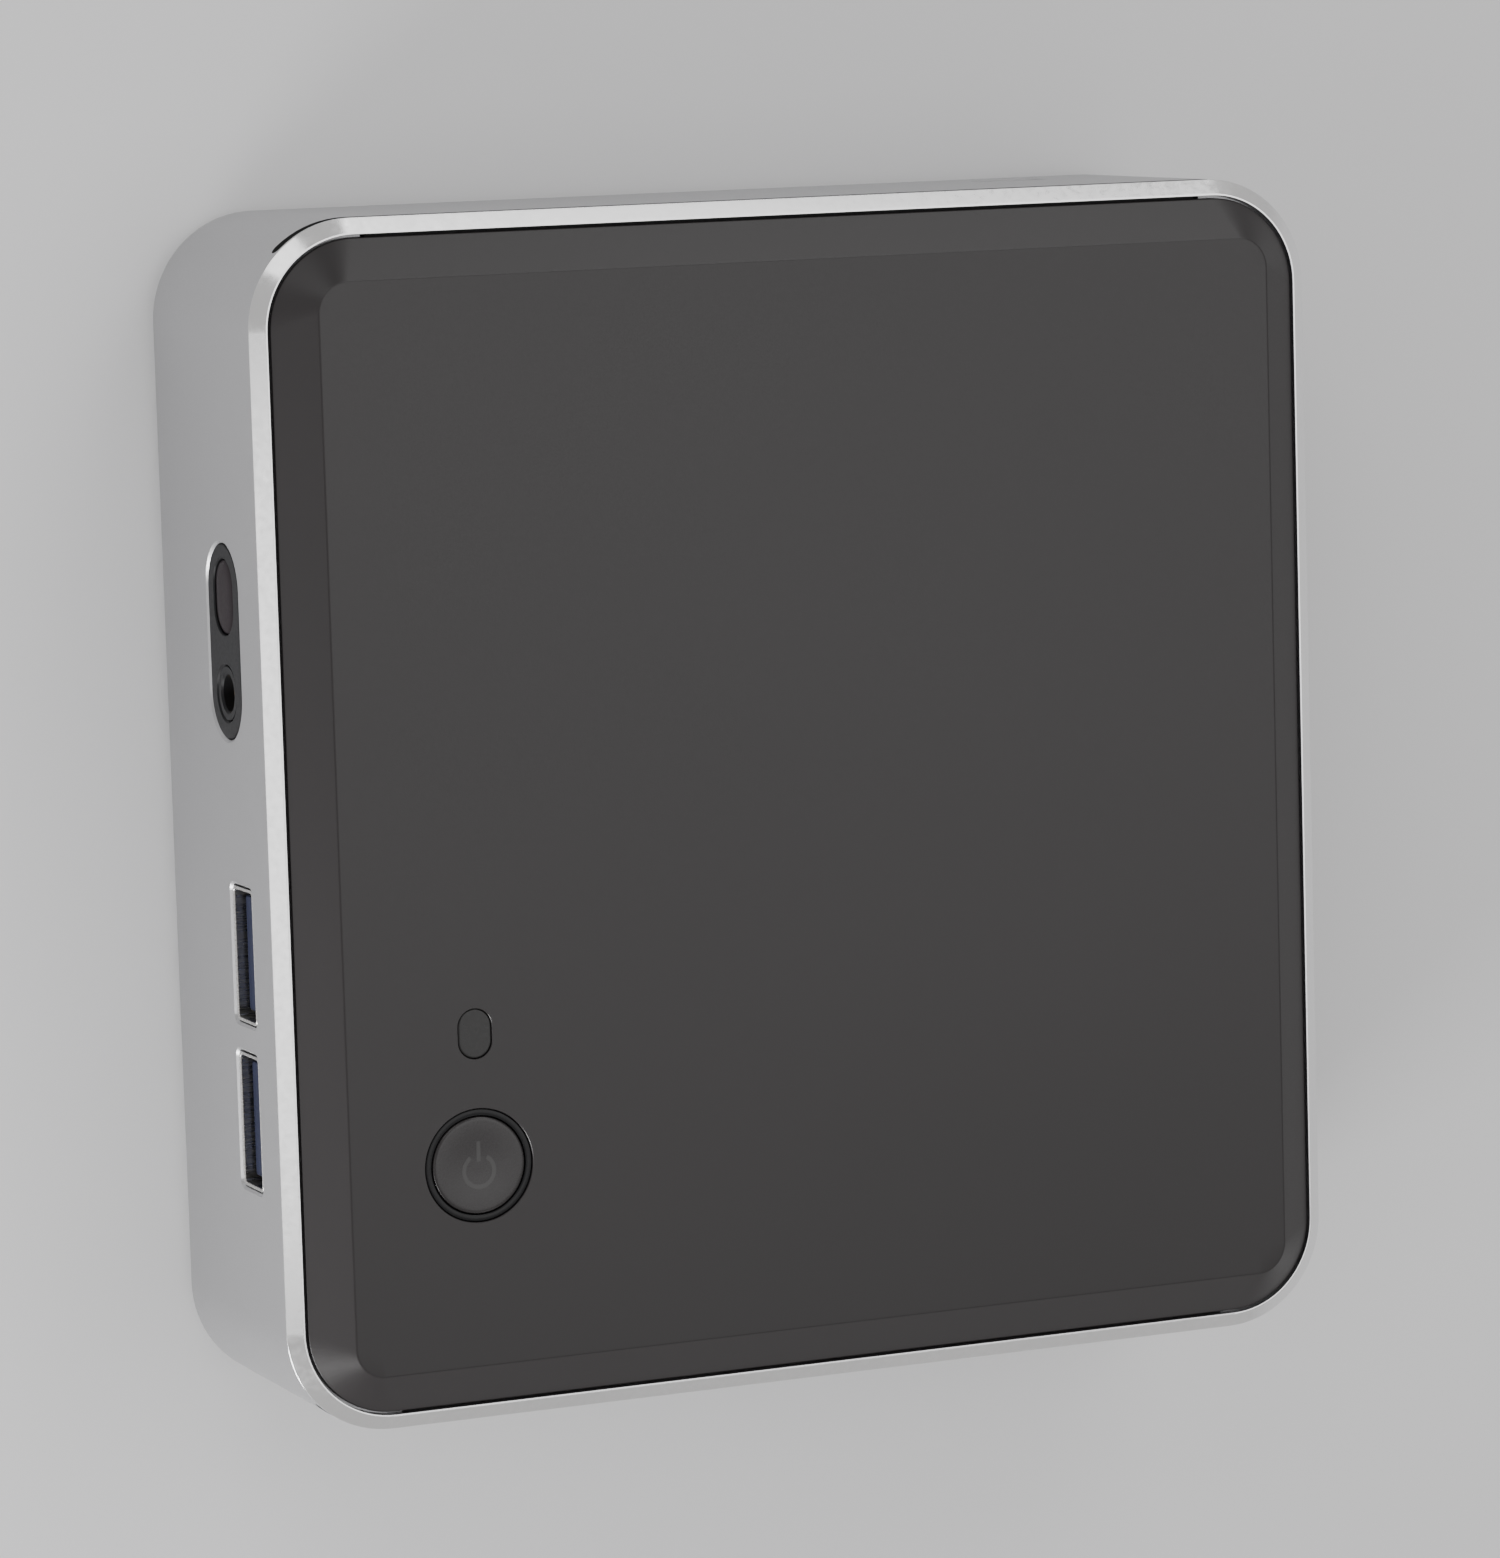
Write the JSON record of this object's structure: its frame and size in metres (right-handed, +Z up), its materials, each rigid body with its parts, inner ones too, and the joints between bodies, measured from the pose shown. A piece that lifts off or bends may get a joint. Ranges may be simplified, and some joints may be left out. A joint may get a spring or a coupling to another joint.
{
  "type": "mini pc",
  "caption": "Flat square desktop computer with an aluminium case, a bevelled dark top cover, a corner power button and sockets at the front and rear.",
  "frame": {"origin": "on the desk, under the middle of the case, at the bottom centre of the bounding box", "axes": "+X right as seen from the front, -Y the front with the headphone and USB sockets, +Z up"},
  "size_m": [0.1166, 0.112, 0.0345],
  "materials": {
    "case_aluminium": "bead-blasted and clear anodised, satin, with a polished chamfer round the top",
    "cover_plastic": "dark charcoal, fine satin grain",
    "bottom_paint": "black powder coat",
    "foot_rubber": "soft matt rubber",
    "panel_plastic": "black, fine spark grain",
    "vent_plastic": "black",
    "button_plastic": "dark charcoal, satin gloss",
    "light_pipe": "smoked clear plastic, unlit",
    "bezel_plastic": "black gloss",
    "ir_plastic": "deep red-black, passes infrared",
    "black_plastic": "black moulded plastic",
    "blue_plastic": "blue moulded plastic",
    "socket_steel": "nickel-plated sheet steel",
    "sheet_steel": "zinc-plated sheet steel",
    "screw_steel": "nickel-plated steel",
    "insert_brass": "turned brass",
    "gold_contacts": "gold-plated spring wire",
    "board_laminate": "solder mask over glass-fibre laminate",
    "card_laminate": "solder mask over glass-fibre laminate",
    "chip_epoxy": "moulded epoxy chip packages",
    "chip_substrate": "chip substrate with a bare silicon die",
    "ferrite": "pressed iron powder",
    "capacitor_can": "plain aluminium cans and ceramic chips",
    "copper": "bare copper",
    "fin_aluminium": "plain thin aluminium",
    "cable_jacket": "thin black insulation",
    "cable_red": "thin red insulation",
    "cell_steel": "nickel-plated steel can"
  },
  "bodies": {
    "case": {"chassis": "case_aluminium", "top_cover": "cover_plastic", "lid_shield": "sheet_steel", "bottom_cover": "bottom_paint", "feet": "foot_rubber", "cover_screws": "screw_steel", "mount_inserts": "insert_brass", "rear_panel": "panel_plastic", "side_vent_mesh": "vent_plastic", "lock_plate": "sheet_steel", "power_switch": "socket_steel", "power_light_ring": "light_pipe", "drive_light_pipe": "light_pipe", "front_bezel": "bezel_plastic", "ir_window": "ir_plastic", "ir_receiver": "black_plastic", "audio_jack": "black_plastic", "front_usb_shells": "socket_steel", "front_usb_tongues": "blue_plastic", "dc_jack": "black_plastic", "dc_jack_pin": "socket_steel", "video_port_shells": "socket_steel", "video_port_tongues": "black_plastic", "lan_port": "socket_steel", "lan_contacts": "gold_contacts", "rear_usb_shells": "socket_steel", "rear_usb_tongues": "blue_plastic", "mainboard": "board_laminate", "board_screws": "screw_steel", "board_chips": "chip_epoxy", "board_inductors": "ferrite", "board_capacitors": "capacitor_can", "processor": "chip_substrate", "cold_plate": "copper", "cold_plate_screws": "screw_steel", "heat_pipe": "copper", "fin_stack": "fin_aluminium", "blower_housing": "black_plastic", "blower_cover": "sheet_steel", "blower_screws": "screw_steel", "fan_stator": "copper", "fan_cable": "cable_jacket", "memory_sockets": "black_plastic", "memory_module_upper": "board_laminate", "memory_module_lower": "board_laminate", "card_sockets": "black_plastic", "storage_card": "card_laminate", "radio_card": "card_laminate", "card_posts": "screw_steel", "antennas": "copper", "antenna_cables": "cable_jacket", "coin_cell": "cell_steel", "coin_cell_cable": "cable_red"},
    "power_button": {"power_button": "button_plastic", "switch_plunger": "black_plastic"},
    "fan": {"fan_impeller": "black_plastic"},
    "latch_upper_left": {"latch_upper_left": "socket_steel"},
    "latch_upper_right": {"latch_upper_right": "socket_steel"},
    "latch_lower_left": {"latch_lower_left": "socket_steel"},
    "latch_lower_right": {"latch_lower_right": "socket_steel"}
  },
  "joints": [
    {"name": "power_button_press", "type": "slide", "parent": "case", "child": "power_button", "axis": [0, 0, -1], "range_m": [0, 0.0005], "stiffness_N_per_m": 1600, "springref_m": -0.0005},
    {"name": "fan_spin", "type": "hinge", "parent": "case", "child": "fan", "pos_m": [-0.015, 0.006, 0.026], "axis": [0, 0, 1], "continuous": true},
    {"name": "latch_upper_left_open", "type": "hinge", "parent": "case", "child": "latch_upper_left", "pos_m": [-0.0357, -0.04, 0.0138], "axis": [0, 0, 1], "range_deg": [0, 5], "stiffness_Nm_per_rad": 0.02, "springref_deg": -1.15},
    {"name": "latch_upper_right_open", "type": "hinge", "parent": "case", "child": "latch_upper_right", "pos_m": [0.0357, -0.04, 0.0138], "axis": [0, 0, -1], "range_deg": [0, 5], "stiffness_Nm_per_rad": 0.02, "springref_deg": -1.15},
    {"name": "latch_lower_left_open", "type": "hinge", "parent": "case", "child": "latch_lower_left", "pos_m": [-0.0357, -0.04, 0.0088], "axis": [0, 0, 1], "range_deg": [0, 5], "stiffness_Nm_per_rad": 0.02, "springref_deg": -1.15},
    {"name": "latch_lower_right_open", "type": "hinge", "parent": "case", "child": "latch_lower_right", "pos_m": [0.0357, -0.04, 0.0088], "axis": [0, 0, -1], "range_deg": [0, 5], "stiffness_Nm_per_rad": 0.02, "springref_deg": -1.15}
  ]
}
